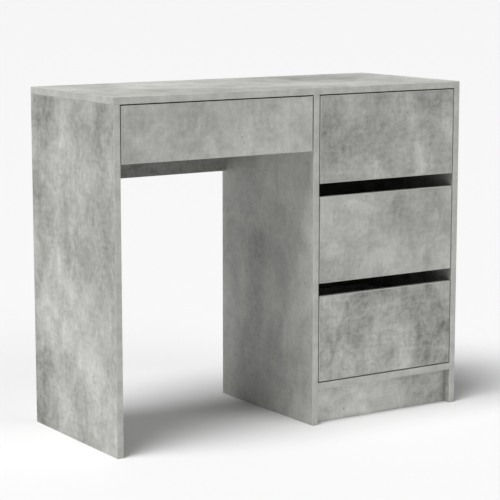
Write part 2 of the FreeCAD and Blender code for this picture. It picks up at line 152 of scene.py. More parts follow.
def group(name, inputs, outputs):
    """New shader node group; returns its tree, its given sockets and the sockets that it puts out."""
    tree = bpy.data.node_groups.new(name, "ShaderNodeTree")
    for label, kind, default in inputs:
        socket = tree.interface.new_socket(label, in_out="INPUT", socket_type="NodeSocket" + kind)
        socket.default_value = default
    for label, kind in outputs:
        tree.interface.new_socket(label, in_out="OUTPUT", socket_type="NodeSocket" + kind)
    entry = tree.nodes.new("NodeGroupInput")
    return tree, entry.outputs, tree.nodes.new("NodeGroupOutput").inputs


def use(tree, shared, sockets):
    """Places a shared group in a material, with its own values; returns what it puts out."""
    return place(tree, "Group", sockets, node_tree=shared).outputs


def make_concrete_print():
    """The printed pattern: clouds, patches, mottling, trowel streaks along local Z, pits and hairlines."""
    tree, given, out = group(
        "concrete_print",
        (("Vector", "Vector", (0, 0, 0)), ("Contrast", "Float", 1.0), ("Lightness", "Float", 0.5)),
        (("Color", "Color"), ("Roughness", "Float"), ("Height", "Float")))
    at = given["Vector"]
    clouds = noise(tree, at, 4.2, 2.0, 0.5, 0.5)
    patches = noise(tree, stretch(tree, at, (1.0, 1.0, 0.88)), 16.0, 5.0, 0.6, 0.8)
    mottle = noise(tree, at, 85.0, 4.0, 0.72)
    wide_streaks = noise(tree, stretch(tree, at, (1.0, 1.0, 0.22)), 26.0, 3.0, 0.6, 0.2)
    fine_streaks = noise(tree, stretch(tree, at, (1.0, 1.0, 0.06)), 130.0, 3.0, 0.6)
    cross_streaks = noise(tree, stretch(tree, at, (0.1, 0.1, 1.0)), 150.0, 2.0, 0.6)
    shares = ((clouds, 1.35), (patches, 0.95), (mottle, 0.65), (wide_streaks, 0.22), (fine_streaks, 0.24),
              (cross_streaks, 0.2))
    total = calc(tree, "MULTIPLY", sum(share for _, share in shares), -0.5)
    for layer, share in shares:
        total = calc(tree, "MULTIPLY_ADD", layer, share, total)
    shade = calc(tree, "MULTIPLY_ADD", total, given["Contrast"], given["Lightness"], use_clamp=True)
    color = blend(tree, shade, PRINT_DARK, PRINT_LIGHT)

    cells = place(tree, "TexVoronoi", {"Vector": at, "Scale": 60.0, "Randomness": 1.0})
    pit_field = ramp(tree, noise(tree, at, 9.0, 2.0), 0.5, 0.62)
    pits = calc(tree, "MULTIPLY", ramp(tree, cells.outputs["Distance"], 0.17, 0.07), pit_field)
    line_field = noise(tree, at, 6.0, 5.0, 0.6, 1.4)
    off_line = calc(tree, "ABSOLUTE", calc(tree, "SUBTRACT", line_field, 0.5))
    line_place = ramp(tree, noise(tree, at, 3.5, 1.0), 0.52, 0.6)
    hairlines = calc(tree, "MULTIPLY", ramp(tree, off_line, 0.004, 0.0), line_place)
    marks = calc(tree, "MAXIMUM", calc(tree, "MULTIPLY", pits, PIT_SHARE),
                 calc(tree, "MULTIPLY", hairlines, HAIRLINE_SHARE))
    tree.links.new(blend(tree, marks, color, PRINT_PIT), out["Color"])
    tree.links.new(ramp(tree, mottle, 0.35, 0.65, to_low=0.58, to_high=0.46), out["Roughness"])
    relief = calc(tree, "MULTIPLY_ADD", fine_streaks, 0.4, mottle)
    tree.links.new(calc(tree, "SUBTRACT", relief, marks), out["Height"])
    return tree


def make_chip_core():
    """Raw particle board: pale and brown wood chips a few millimetres long, with open pores between them."""
    tree, given, out = group("chip_core", (("Vector", "Vector", (0, 0, 0)),),
                             (("Color", "Color"), ("Height", "Float")))
    at = given["Vector"]
    chips = place(tree, "TexVoronoi", {"Vector": stretch(tree, at, (0.5, 0.5, 1.0)), "Scale": 620.0})
    tone = place(tree, "SeparateColor", {0: chips.outputs["Color"]}).outputs[0]
    fibre = noise(tree, at, 1500.0, 3.0, 0.7)
    shade = calc(tree, "MULTIPLY_ADD", fibre, 0.5, calc(tree, "MULTIPLY", tone, 0.6))
    pores = ramp(tree, noise(tree, at, 420.0, 3.0, 0.6), 0.36, 0.42)
    tree.links.new(blend(tree, calc(tree, "MULTIPLY", shade, pores), CHIP_DARK, CHIP_LIGHT), out["Color"])
    tree.links.new(calc(tree, "MULTIPLY", pores, shade), out["Height"])
    return tree


def make_board_faces():
    """Tells a board's raw ends from its laminate, and how near a point lies to the outline of its faces.

    Raw is 1 where the normal is along the raw axis. Wear is 1 at the outline and fades within about 3 mm,
    unevenly. Low and High are the board's corners.
    """
    tree, given, out = group(
        "board_faces",
        (("Thickness Axis", "Vector", (0, 0, 1)), ("Raw Axis", "Vector", (1, 0, 0)),
         ("Low", "Vector", (0, 0, 0)), ("High", "Vector", (1, 1, 1))),
        (("Raw", "Float"), ("Wear", "Float")))
    coordinates = tree.nodes.new("ShaderNodeTexCoord")
    at = coordinates.outputs["Object"]
    along_raw = place(tree, "VectorMath", {0: coordinates.outputs["Normal"], 1: given["Raw Axis"]},
                      operation="DOT_PRODUCT").outputs["Value"]
    tree.links.new(ramp(tree, calc(tree, "ABSOLUTE", along_raw), 0.72, 0.86), out["Raw"])
    from_low = place(tree, "VectorMath", {0: at, 1: given["Low"]}, operation="SUBTRACT").outputs[0]
    from_high = place(tree, "VectorMath", {0: given["High"], 1: at}, operation="SUBTRACT").outputs[0]
    nearer = place(tree, "VectorMath", {0: from_low, 1: from_high}, operation="MINIMUM").outputs[0]
    in_plane = place(tree, "VectorMath", {0: given["Thickness Axis"], 1: (1, 1, 1), 2: nearer},
                     operation="MULTIPLY_ADD").outputs[0]
    parts = place(tree, "SeparateXYZ", {0: in_plane}).outputs
    distance = calc(tree, "MINIMUM", calc(tree, "MINIMUM", parts[0], parts[1]), parts[2])
    uneven = calc(tree, "MULTIPLY_ADD", noise(tree, at, 60.0, 3.0), 0.004, distance)
    tree.links.new(ramp(tree, uneven, 0.0055, 0.0018), out["Wear"])
    return tree


CONCRETE_PRINT = make_concrete_print()
CHIP_CORE = make_chip_core()
BOARD_FACES = make_board_faces()


def new_material(name):
    """Node material with a Principled shader alone; returns it, its tree and the shader's input sockets."""
    material = bpy.data.materials.new(name)
    material.use_nodes = True
    tree = material.node_tree
    tree.nodes.clear()
    shader = tree.nodes.new("ShaderNodeBsdfPrincipled")
    output = tree.nodes.new("ShaderNodeOutputMaterial")
    tree.links.new(shader.outputs[0], output.inputs["Surface"])
    return material, tree, shader.inputs


def laminate(node, thickness_axis, raw_axis, turn, shift, contrast=0.9, lightness=0.48):
    """Concrete-look board: the print on its faces, rubbed along their outline, and raw chips on its cut ends.

    turn and shift place the print on this board, so that no two boards show the same stretch of it. lightness
    was fitted so that each face's mean brightness under this scene's light comes near to how bright that face
    looks from the camera; it holds for this light only, and its differences between boards of the one
    laminate are partly painted light and shade, not only the print's own colour.
    """
    material, tree, shader = new_material("laminate_" + node)
    at = own_place(tree)
    on_sheet = place(tree, "Mapping", {"Vector": at, "Rotation": turn, "Location": shift}).outputs[0]
    low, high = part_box(node)
    faces = use(tree, BOARD_FACES, {"Thickness Axis": AXES[thickness_axis], "Raw Axis": AXES[raw_axis],
                                    "Low": low, "High": high})
    printed = use(tree, CONCRETE_PRINT, {"Vector": on_sheet, "Contrast": contrast, "Lightness": lightness})
    chips = use(tree, CHIP_CORE, {"Vector": at})
    worn = calc(tree, "MULTIPLY", faces["Wear"], EDGE_RUB)
    face_color = blend(tree, worn, printed["Color"], BAND_DARK)
    tree.links.new(blend(tree, faces["Raw"], face_color, chips["Color"]), shader["Base Color"])
    rough = calc(tree, "MULTIPLY_ADD", faces["Raw"], RAW_ROUGHER, printed["Roughness"])
    tree.links.new(rough, shader["Roughness"])
    relief = calc(tree, "MULTIPLY_ADD", calc(tree, "MULTIPLY", faces["Raw"], RAW_RELIEF), chips["Height"],
                  printed["Height"])
    tree.links.new(bump(tree, relief, PRINT_RELIEF), shader["Normal"])
    return material


def finish_node(node, material):
    """Gives a node of the frame its material."""
    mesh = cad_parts[node].data
    mesh.materials.clear()
    mesh.materials.append(material)


def make_band_plastic():
    """Plain plastic band: faint drag marks of the trimmer, paler and smoother where its edges are rubbed."""
    material, tree, shader = new_material("band_plastic")
    at = own_place(tree)
    drag = noise(tree, at, 34.0, 5.0, 0.68)
    speckle = noise(tree, at, 650.0, 3.0, 0.7)
    tone = calc(tree, "MULTIPLY_ADD", speckle, 0.35, calc(tree, "MULTIPLY", drag, 0.65))
    plain = blend(tree, ramp(tree, tone, 0.38, 0.62), BAND_DARK, BAND_LIGHT)
    rub_place = ramp(tree, noise(tree, at, 45.0, 4.0, 0.65), 0.42, 0.62)
    rubbed = calc(tree, "MULTIPLY", own_wear(tree), rub_place)
    tree.links.new(blend(tree, calc(tree, "MULTIPLY", rubbed, 0.7), plain, BAND_RUBBED), shader["Base Color"])
    rough = ramp(tree, speckle, 0.3, 0.7, to_low=0.5, to_high=0.4)
    tree.links.new(calc(tree, "MULTIPLY_ADD", rubbed, -0.1, rough), shader["Roughness"])
    relief = calc(tree, "MULTIPLY_ADD", speckle, 0.5, drag)
    tree.links.new(bump(tree, relief, depth=0.00003), shader["Normal"])
    return material


BAND_PLASTIC = make_band_plastic()


def make_piece(name, surfaces, material, body):
    """Object made of closed surfaces, each a grid of points whose columns come round to the first one.

    A surface is (points, ends, wear). Its ends are "ring" where the last row joins the first, "caps" where a
    flat face closes each end, and "poles" where each end row is a single point. Wear is kept at each point.
    """
    points, faces, worn, count = [], [], [], 0
    for grid, ends, wear in surfaces:
        rows, columns = grid.shape[:2]
        row = np.arange(rows if ends == "ring" else rows - 1)[:, None]
        column = np.arange(columns)[None, :]
        next_row, next_column = (row + 1) % rows, (column + 1) % columns
        corners = (row * columns + column, next_row * columns + column,
                   next_row * columns + next_column, row * columns + next_column)
        faces += (np.stack(corners, -1).reshape(-1, 4) + count).tolist()
        if ends == "caps":
            faces += [list(range(first, first + columns)) for first in (count, count + (rows - 1) * columns)]
        points.append(grid.reshape(-1, 3))
        worn.append(np.broadcast_to(wear, (rows, columns)).ravel())
        count += rows * columns
    mesh = bpy.data.meshes.new(name)
    mesh.from_pydata(np.concatenate(points).tolist(), [], faces)
    wear_layer = mesh.attributes.new("wear", "FLOAT", "POINT")
    wear_layer.data.foreach_set("value", np.concatenate(worn).astype(np.float32))
    shell = bmesh.new()
    shell.from_mesh(mesh)
    bmesh.ops.remove_doubles(shell, verts=shell.verts, dist=SAME_PLACE)
    bmesh.ops.recalc_face_normals(shell, faces=shell.faces)
    shell.to_mesh(mesh)
    shell.free()
    mesh.polygons.foreach_set("use_smooth", np.ones(len(mesh.polygons), bool))
    mesh.set_sharp_from_angle(angle=SHARP_ANGLE)
    mesh.materials.append(material)
    piece = bpy.data.objects.new(name, mesh)
    bpy.context.scene.collection.objects.link(piece)
    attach(piece, body)
    return piece


def carried(path, outward, across, profile):
    """Profile carried along a path: each path point, plus the profile's height outward and width across."""
    width, height = profile[None, :, 0, None], profile[None, :, 1, None]
    return path[:, None] + height * np.broadcast_to(outward, path.shape)[:, None] + width * across


def band_outline(thickness):
    """Closed outline of a band, as (across, outward), and its wear, which is 1 halfway round each corner.

    It is flat between two corners. A corner's point at angle a is at half the thickness, less the edge's
    radius, plus r cos a across, and at r sin a less the edge's radius outward. r is the edge's radius with
    the band on.
    """
    radius = EDGE_ROUND + BAND_PROUD
    angle = np.linspace(math.asin((EDGE_ROUND - BAND_WRAP) / radius), math.pi / 2, CORNER_STEPS)
    across = thickness / 2 - EDGE_ROUND + radius * np.cos(angle)
    corner = np.stack([across, radius * np.sin(angle) - EDGE_ROUND], -1)
    wear = np.sin(2 * angle)
    return np.concatenate([corner, corner[::-1] * (-1, 1)]), np.concatenate([wear, wear[::-1]])


def round_corners(steps):
    """Outward directions round the four corners of a rectangle, and the side of its middle that each lies on.

    Corner k covers the angles from k to k + 1 quarter turns. Its side is the sign of its diagonal.
    """
    quarter = np.arange(4)[:, None] * math.pi / 2
    angle = (quarter + np.linspace(0, math.pi / 2, steps)).ravel()
    diagonal = np.repeat(quarter.ravel() + math.pi / 4, steps)
    side = np.sign(np.stack([np.cos(diagonal), np.sin(diagonal)], -1))
    return np.stack([np.cos(angle), np.sin(angle)], -1), side


def ring_path(low, high, thickness_axis):
    """Rounded outline round a board's four edges: each corner's centre plus the edge's radius outward.

    Returns its points and their outward directions.
    """
    in_plane = [axis for axis in (X, Y, Z) if axis != thickness_axis]
    outward, side = np.zeros((2, 4 * CORNER_STEPS, 3))
    outward[:, in_plane], side[:, in_plane] = round_corners(CORNER_STEPS)
    return (low + high) / 2 + side * ((high - low) / 2 - EDGE_ROUND) + EDGE_ROUND * outward, outward


def strip_path(low, high, thickness_axis, facing_axis, side):
    """Straight line along the middle of one edge, as points and the way that the edge faces."""
    length_axis = 3 - thickness_axis - facing_axis
    ends = np.tile((low + high) / 2, (2, 1))
    ends[:, facing_axis] = (low if side < 0 else high)[facing_axis]
    ends[:, length_axis] = low[length_axis] + BAND_END_GAP, high[length_axis] - BAND_END_GAP
    return ends, side * AXES[facing_axis]


def band_board(node, body, thickness_axis, edges=()):
    """Bands a board: one ring round all four edges, or a strip on each edge given as (axis, side)."""
    low, high = (np.array(corner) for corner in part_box(node))
    outline, wear = band_outline((high - low)[thickness_axis])
    runs = [(*strip_path(low, high, thickness_axis, *edge), "caps") for edge in edges]
    if not runs:
        runs = [(*ring_path(low, high, thickness_axis), "ring")]
    surfaces = [(carried(path, outward, AXES[thickness_axis], outline), ends, wear)
                for path, outward, ends in runs]
    make_piece(node + "_edge_band", surfaces, BAND_PLASTIC, body)


# The top's lightness of 0.55 was fitted to its brightness under this light, so its paleness is partly painted
# light, not only the print's colour.
finish_node("top_panel", laminate("top_panel", Z, X, ALONG_X, (0.3, 0.7, 0.1), contrast=0.62, lightness=0.55))
band_board("top_panel", "frame", Z)


# ---- uprights ----
# The slab leg, the partition and the outer side are one size of board, stood on end from the floor to the
# top. Their print runs upright. Their front and back edges are banded, and their ends are raw.

# Each upright's lightness was fitted to how bright its face looks under this light, so the differences
# between them are partly painted light and shade, not only the print's own variation.
for node, shift, contrast, lightness in (("leg_panel", (1.3, 0.2, 2.1), 0.82, 0.46),
                                         ("partition_panel", (3.7, 1.2, 0.4), 0.48, 0.44),
                                         ("outer_side_panel", (5.2, 0.9, 1.6), 0.8, 0.5)):
    finish_node(node, laminate(node, X, Z, ALONG_Z, shift, contrast, lightness))
    band_board(node, "frame", X, ((Y, -1), (Y, 1)))


# ---- kneehole rail ----
# A board across the back of the kneehole, under the top, banded below. It keeps the desk square, and its
# four cams face the wall.

# The rail's print is given a lightness of 0.21, far darker than the other boards of the same laminate: this
# is painted shade, for the rail's place in the kneehole's shadow under the top.
finish_node("kneehole_rail",
            laminate("kneehole_rail", Y, X, ALONG_X, (2.2, 4.1, 0.8), contrast=0.6, lightness=0.21))
band_board("kneehole_rail", "frame", Y, ((Z, -1),))


# ---- pedestal floor and plinth ----
# The floor's banded front edge shows below the lowest drawer, and the plinth stands back under it on its
# raw lower edge.

finish_node("pedestal_floor", laminate("pedestal_floor", Z, X, ALONG_X, (6.1, 0.4, 2.7)))
band_board("pedestal_floor", "frame", Z, ((Y, -1), (Y, 1)))
# The plinth's lightness of 0.66 was fitted to how bright it looks under this light, so it is partly painted
# light and shade, not only the print's colour.
finish_node("plinth_board", laminate("plinth_board", Y, Z, ALONG_X, (4.6, 2.3, 1.9), lightness=0.66))


# ---- pedestal back and drawer bottoms ----
# Thin pressed fibre board, lacquered grey. The pedestal's is let into grooves in the four boards round it,
# and a drawer's into grooves in its front and sides.

FIBRE_DARK = (0.28, 0.275, 0.26, 1.0)
FIBRE_LIGHT = (0.41, 0.405, 0.385, 1.0)


def make_hardboard():
    """Felted short fibres in a lacquered sheet."""
    material, tree, shader = new_material("hardboard")
    at = own_place(tree)
    felt = noise(tree, at, 420.0, 4.0, 0.75, 1.5)
    cloud = noise(tree, at, 12.0, 3.0)
    tone = calc(tree, "MULTIPLY_ADD", cloud, 0.5, calc(tree, "MULTIPLY", felt, 0.6))
    tree.links.new(blend(tree, ramp(tree, tone, 0.35, 0.75), FIBRE_DARK, FIBRE_LIGHT), shader["Base Color"])
    tree.links.new(ramp(tree, felt, 0.3, 0.7, to_low=0.62, to_high=0.48), shader["Roughness"])
    tree.links.new(bump(tree, felt, depth=0.00005), shader["Normal"])
    return material


HARDBOARD = make_hardboard()
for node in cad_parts:
    if node == "pedestal_back_board" or node.endswith("_bottom"):
        finish_node(node, HARDBOARD)


# ---- cams and dowels of the frame ----
# Turned cam bolts and pressed cam discs in zinc-plated steel pull each joint together. Beech dowels beside
# them line the boards up.

ZINC_COOL = (0.56, 0.585, 0.61, 1.0)
ZINC_STRAW = (0.66, 0.63, 0.55, 1.0)
BEECH_DARK = (0.50, 0.31, 0.16, 1.0)
BEECH_LIGHT = (0.72, 0.52, 0.32, 1.0)


def make_zinc():
    """Zinc plating: cool and straw-coloured patches, a crystalline grain and dull scuffs."""
    material, tree, shader = new_material("zinc_plating")
    at = own_place(tree)
    patches = noise(tree, at, 190.0, 4.0, 0.6, 0.6)
    crystals = place(tree, "TexVoronoi", {"Vector": at, "Scale": 1300.0}).outputs["Distance"]
    scuffs = ramp(tree, noise(tree, at, 520.0, 4.0, 0.75), 0.52, 0.66)
    tree.links.new(blend(tree, ramp(tree, patches, 0.35, 0.65), ZINC_COOL, ZINC_STRAW), shader["Base Color"])
    shader["Metallic"].default_value = 1.0
    rough = ramp(tree, crystals, 0.1, 0.7, to_low=0.27, to_high=0.4)
    tree.links.new(calc(tree, "MULTIPLY_ADD", scuffs, 0.16, rough), shader["Roughness"])
    relief = calc(tree, "MULTIPLY_ADD", scuffs, 0.6, crystals)
    tree.links.new(bump(tree, relief, depth=0.00002), shader["Normal"])
    return material


def make_beech():
    """Pale beech with short darker rays and a fine pore."""
    material, tree, shader = new_material("beech")
    at = own_place(tree)
    figure = noise(tree, stretch(tree, at, (0.25, 1.0, 0.25)), 700.0, 3.0, 0.6)
    rays = ramp(tree, noise(tree, at, 1100.0, 2.0), 0.56, 0.66)
    tone = calc(tree, "SUBTRACT", ramp(tree, figure, 0.3, 0.7), calc(tree, "MULTIPLY", rays, 0.5),
                use_clamp=True)
    tree.links.new(blend(tree, tone, BEECH_DARK, BEECH_LIGHT), shader["Base Color"])
    tree.links.new(ramp(tree, figure, 0.3, 0.7, to_low=0.72, to_high=0.6), shader["Roughness"])
    tree.links.new(bump(tree, calc(tree, "SUBTRACT", figure, rays), depth=0.00004), shader["Normal"])
    return material


ZINC = make_zinc()
for node in ("frame_cam_bolts", "frame_cam_discs"):
    finish_node(node, ZINC)
finish_node("frame_dowels", make_beech())


# ---- cabinet runners ----
# Channels of 1.2 mm steel, folded in a press, powder coated and screwed to the frame. Each carries a
# riveted roller at its front and has a stop across its rear end.

SHEET = 0.0012
FOLD_RADIUS = 0.0012            # of the middle of the sheet
FOLD_STEPS = 5                  # points on each fold
FLANGE_REACH = 0.0098           # from a runner's back
STOP_ROUND = 0.0010             # of the stop plate's corners
ROUND_STEPS = 40                # points round a turned piece
RIVET_RADIUS = 0.0020
RIVET_LENGTH = 0.0085           # from the web to the head
RIVET_HEAD = 0.0006
RIVET_HEAD_RADIUS = 0.0035
RIVET_WEAR = 0.3                # of a rivet and of a stop, all over
COAT_LIGHT = (0.66, 0.665, 0.66, 1.0)
COAT_SHADE = (0.57, 0.575, 0.57, 1.0)
COAT_RUBBED = (0.27, 0.275, 0.28, 1.0)
DRAWERS = ("centre_drawer", "upper_drawer", "middle_drawer", "lower_drawer")
SIDES = (("left", AXES[X]), ("right", -AXES[X]))        # each with its way in, to the middle of a drawer


def make_powder_coat():
    """Pale powder coat with an orange-peel skin, rubbed to dark steel in places along the folds."""
    material, tree, shader = new_material("powder_coat")
    at = own_place(tree)
    peel = noise(tree, at, 900.0, 2.0, 0.5)
    haze = noise(tree, at, 40.0, 3.0)
    drag = noise(tree, stretch(tree, at, (1.0, 0.04, 1.0)), 900.0, 3.0, 0.7)
    coat = blend(tree, ramp(tree, haze, 0.35, 0.65), COAT_SHADE, COAT_LIGHT)
    rub_place = ramp(tree, calc(tree, "MULTIPLY_ADD", noise(tree, at, 120.0, 4.0, 0.7), 0.6,
                                calc(tree, "MULTIPLY", drag, 0.4)), 0.5, 0.58)
    rubbed = calc(tree, "MULTIPLY", own_wear(tree), rub_place)
    tree.links.new(blend(tree, calc(tree, "MULTIPLY", rubbed, 0.75), coat, COAT_RUBBED), shader["Base Color"])
    tree.links.new(calc(tree, "MULTIPLY", rubbed, 0.8), shader["Metallic"])
    tree.links.new(ramp(tree, peel, 0.3, 0.7, to_low=0.46, to_high=0.34), shader["Roughness"])
    relief = calc(tree, "SUBTRACT", peel, calc(tree, "MULTIPLY", rubbed, 0.5))
    tree.links.new(bump(tree, relief, depth=0.00004), shader["Normal"])
    return material


POWDER_COAT = make_powder_coat()


def folded_sheet(corners):
    """Closed outline of folded sheet, and its wear, which rises to 1 halfway round each fold as a sine.

    The sheet's middle line runs straight between the corners and turns at each on an arc. The arc begins the
    fold's radius times the tangent of half the turn before the corner, and its points are its centre less the
    radius to the line's left, on a left turn, or plus it, on a right turn. The outline is the middle line
    moved half the sheet's thickness to its left, and back again to its right.
    """
    corners = np.array(corners)
    run = np.diff(corners, axis=0)
    heading = np.arctan2(run[:, 1], run[:, 0])
    middle, headings, wear = [corners[:1]], [heading[:1]], [np.zeros(1)]
    for corner, before, after in zip(corners[1:-1], heading[:-1], heading[1:]):
        turn = (after - before + math.pi) % (2 * math.pi) - math.pi
        angle = before + turn * np.linspace(0, 1, FOLD_STEPS)
        radius = math.copysign(FOLD_RADIUS, turn)
        begin = corner - abs(radius * math.tan(turn / 2)) * np.array([math.cos(before), math.sin(before)])
        left = np.stack([-np.sin(angle), np.cos(angle)], -1)
        middle.append(begin + radius * (left[0] - left))
        headings.append(angle)
        wear.append(np.sin(math.pi * np.linspace(0, 1, FOLD_STEPS)))
    middle = np.concatenate(middle + [corners[-1:]])
    headings = np.concatenate(headings + [heading[-1:]])
    half = SHEET / 2 * np.stack([-np.sin(headings), np.cos(headings)], -1)
    wear = np.concatenate(wear + [np.zeros(1)])
    return np.concatenate([middle + half, (middle - half)[::-1]]), np.concatenate([wear, wear[::-1]])


def rounded_plate(low, high):
    """Rectangle between two corners, with rounded corners: each one's centre plus the radius outward."""
    low, high = np.array(low), np.array(high)
    outward, side = round_corners(FOLD_STEPS)
    return (low + high) / 2 + side * ((high - low) / 2 - STOP_ROUND) + STOP_ROUND * outward


def round_axis(centre, axis, along, radius, angle):
    """Point at each angle round an axis: the centre, plus a distance along it and a radius at that angle."""
    side = np.roll(axis, 1)
    around = np.cos(angle)[..., None] * side + np.sin(angle)[..., None] * np.cross(axis, side)
    return centre + along[..., None] * axis + radius[..., None] * around


def turned(profile, centre, axis):
    """Surface of revolution of a profile, given as (along, radius)."""
    profile = np.array(profile)
    angle = np.arange(ROUND_STEPS)[None, :] * 2 * math.pi / ROUND_STEPS
    return round_axis(centre, axis, profile[:, :1], profile[:, 1:], angle)


def rivet(web, roller_at, direction):
    """Pin from a runner's web through its roller, with a domed head, of which it returns the surface.

    The head's radius is its rim's, times the root of 1 less the square of the share of its height.
    """
    rise = np.linspace(0, 1, FOLD_STEPS)
    dome = np.stack([RIVET_LENGTH + RIVET_HEAD * rise, RIVET_HEAD_RADIUS * np.sqrt(1 - rise ** 2)], -1)
    pin = [(-SHEET / 2, 0.0), (-SHEET / 2, RIVET_RADIUS), (RIVET_LENGTH, RIVET_RADIUS)]
    centre = np.array([web, roller_at[Y], roller_at[Z]])
    return turned(np.concatenate([pin, dome]), centre, direction), "poles", RIVET_WEAR


def straight(x, y0, y1, z):
    """Path of two points along the desk's depth."""
    return np.array([(x, y0, z), (x, y1, z)])


def roller_centre(node):
    """Middle of a pair of rollers."""
    low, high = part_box(node)
    return np.array((low + high) / 2)


for drawer in DRAWERS:
    roller_at = roller_centre(drawer + "_cabinet_rollers")
    for side, inward in SIDES:
        node = f"{drawer}_{side}_cabinet_runner"
        low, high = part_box(node)
        wall = low.x if side == "left" else high.x
        height = high.z - low.z
        half = SHEET / 2
        channel, wear = folded_sheet([(FLANGE_REACH, half), (half, half), (half, height - half),
                                      (FLANGE_REACH, height - half)])
        stop = rounded_plate((half, half), (FLANGE_REACH, height - SHEET))
        surfaces = [
            (carried(straight(wall, low.y, high.y, low.z), AXES[Z], inward, channel), "caps", wear),
            (carried(straight(wall, high.y - SHEET, high.y, low.z), AXES[Z], inward, stop), "caps",
             RIVET_WEAR),
            rivet(wall + inward[X] * SHEET, roller_at, inward),
        ]
        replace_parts(make_piece(node + "_channel", surfaces, POWDER_COAT, "frame"), node)


# ---- runner screws ----
# Three zinc-plated screws hold each cabinet runner. Each has a countersunk head with a low dome and a cross
# recess, and a coarse thread for particle board.

RUNNER_SCREW = (0.012, 0.00175, 0.0032, 0.0018)         # length, radius, head's radius, head's depth
SCREW_FRONT_INSET = 0.040       # from a runner's front end, with one more screw halfway along it
SCREW_REAR_INSET = 0.045
SCREW_CORE = 0.66               # share of a screw's radius under its thread
SCREW_DOME = 0.11               # share of its head's radius, and so are the three below
RECESS_DEPTH = 0.28
RECESS_ARM = 0.28
RECESS_REACH = 0.56
RECESS_SLOPE = 0.25             # share of an arm, and of the reach, that a recess's walls slope over
SCREW_PITCH = 0.0016
THREAD_STEP = 0.0004            # between the rings of points down a thread
HEAD_ROWS = 10                  # rings of points on a head
SCREW_STEPS = 28                # points on a ring


def cross_recess(radius, angle, arm, reach):
    """Share of a cross recess's depth at each radius and angle.

    It is 1 where the smaller distance from the cross's two middle lines is within half an arm's width, and
    falls to 0 over the slope's share of that width. It also falls to 0 at the arms' reach, over the slope's
    share of the reach.
    """
    off_arm = np.minimum(abs(radius * np.cos(angle)), abs(radius * np.sin(angle)))
    in_arm = np.clip(((0.5 + RECESS_SLOPE) * arm - off_arm) / (RECESS_SLOPE * arm), 0, 1)
    return in_arm * np.clip((reach - radius) / (RECESS_SLOPE * reach), 0, 1)


def screw(seat, direction, length, radius, head_radius, head_depth):
    """Screw from the middle of its head, out over the rim, down the cone and the thread to its point.

    The head's top is a dome, which falls as the radius squared, less the recess. On the thread the radius
    swings between core and crest as a cosine of the place along, in turns, less the angle.
    """
    angle = np.arange(SCREW_STEPS)[None, :] * 2 * math.pi / SCREW_STEPS
    out = head_radius * np.linspace(0, 1, HEAD_ROWS)[:, None] + 0 * angle
    recess = cross_recess(out, angle, RECESS_ARM * head_radius, RECESS_REACH * head_radius)
    top = head_radius * (RECESS_DEPTH * recess - SCREW_DOME * (1 - (out / head_radius) ** 2))
    down = np.arange(head_depth, length - SCREW_PITCH, THREAD_STEP)[:, None] + 0 * angle
    crest = 0.5 + 0.5 * np.cos(2 * math.pi * down / SCREW_PITCH - angle)
    thread = radius * (SCREW_CORE + (1 - SCREW_CORE) * crest)
    tip = np.zeros((1, SCREW_STEPS))
    along, around = np.concatenate([top, down, tip + length]), np.concatenate([out, thread, tip])
    return round_axis(seat, direction, along, around, angle), "poles", 0.0


screws = []
for drawer in DRAWERS:
    height = roller_centre(drawer + "_cabinet_rollers")[Z]
    for side, inward in SIDES:
        low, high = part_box(f"{drawer}_{side}_cabinet_runner")
        web = (low.x if side == "left" else high.x) + inward[X] * SHEET
        for y in (low.y + SCREW_FRONT_INSET, (low.y + high.y) / 2, high.y - SCREW_REAR_INSET):
            screws.append(screw(np.array([web, y, height]), -inward, *RUNNER_SCREW))
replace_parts(make_piece("runner_screws_turned", screws, ZINC, "frame"), "runner_screws")


# ---- rollers ----
# Moulded nylon wheels, crowned a little on the tread and dished on both sides round the hub. A drawer's front
# pair turns on the rivets of its cabinet runners, and its rear pair on those of its drawer runners.

ROLLER_WIDTH = 0.0065
ROLLER_CROWN = 0.00012
ROLLER_SHOULDER = 0.0006
ROLLER_RIM = 0.0062             # inner radius of the rim
ROLLER_DISH = 0.0009
ROLLER_HUB = 0.0037
ROLLER_BORE = 0.00205
ROLLER_DRAFT = 0.0003           # slope of the dish's walls
NYLON_LIGHT = (0.76, 0.75, 0.70, 1.0)
NYLON_SHADE = (0.66, 0.65, 0.60, 1.0)
NYLON_RUBBED = (0.40, 0.39, 0.37, 1.0)


def make_nylon():
    """Cloudy off-white nylon, greyed and polished on the tread."""
    material, tree, shader = new_material("nylon")
    at = own_place(tree)
    cloud = noise(tree, at, 160.0, 3.0)
    skin = noise(tree, at, 1600.0, 3.0, 0.6)
    plain = blend(tree, ramp(tree, cloud, 0.35, 0.65), NYLON_SHADE, NYLON_LIGHT)
    rubbed = calc(tree, "MULTIPLY", own_wear(tree), ramp(tree, noise(tree, at, 420.0, 3.0), 0.35, 0.6))
    color = blend(tree, calc(tree, "MULTIPLY", rubbed, 0.6), plain, NYLON_RUBBED)
    tree.links.new(color, shader["Base Color"])
    rough = ramp(tree, skin, 0.3, 0.7, to_low=0.48, to_high=0.36)
    tree.links.new(calc(tree, "MULTIPLY_ADD", rubbed, -0.12, rough), shader["Roughness"])
    tree.links.new(bump(tree, skin, depth=0.00002), shader["Normal"])
    return material


NYLON = make_nylon()


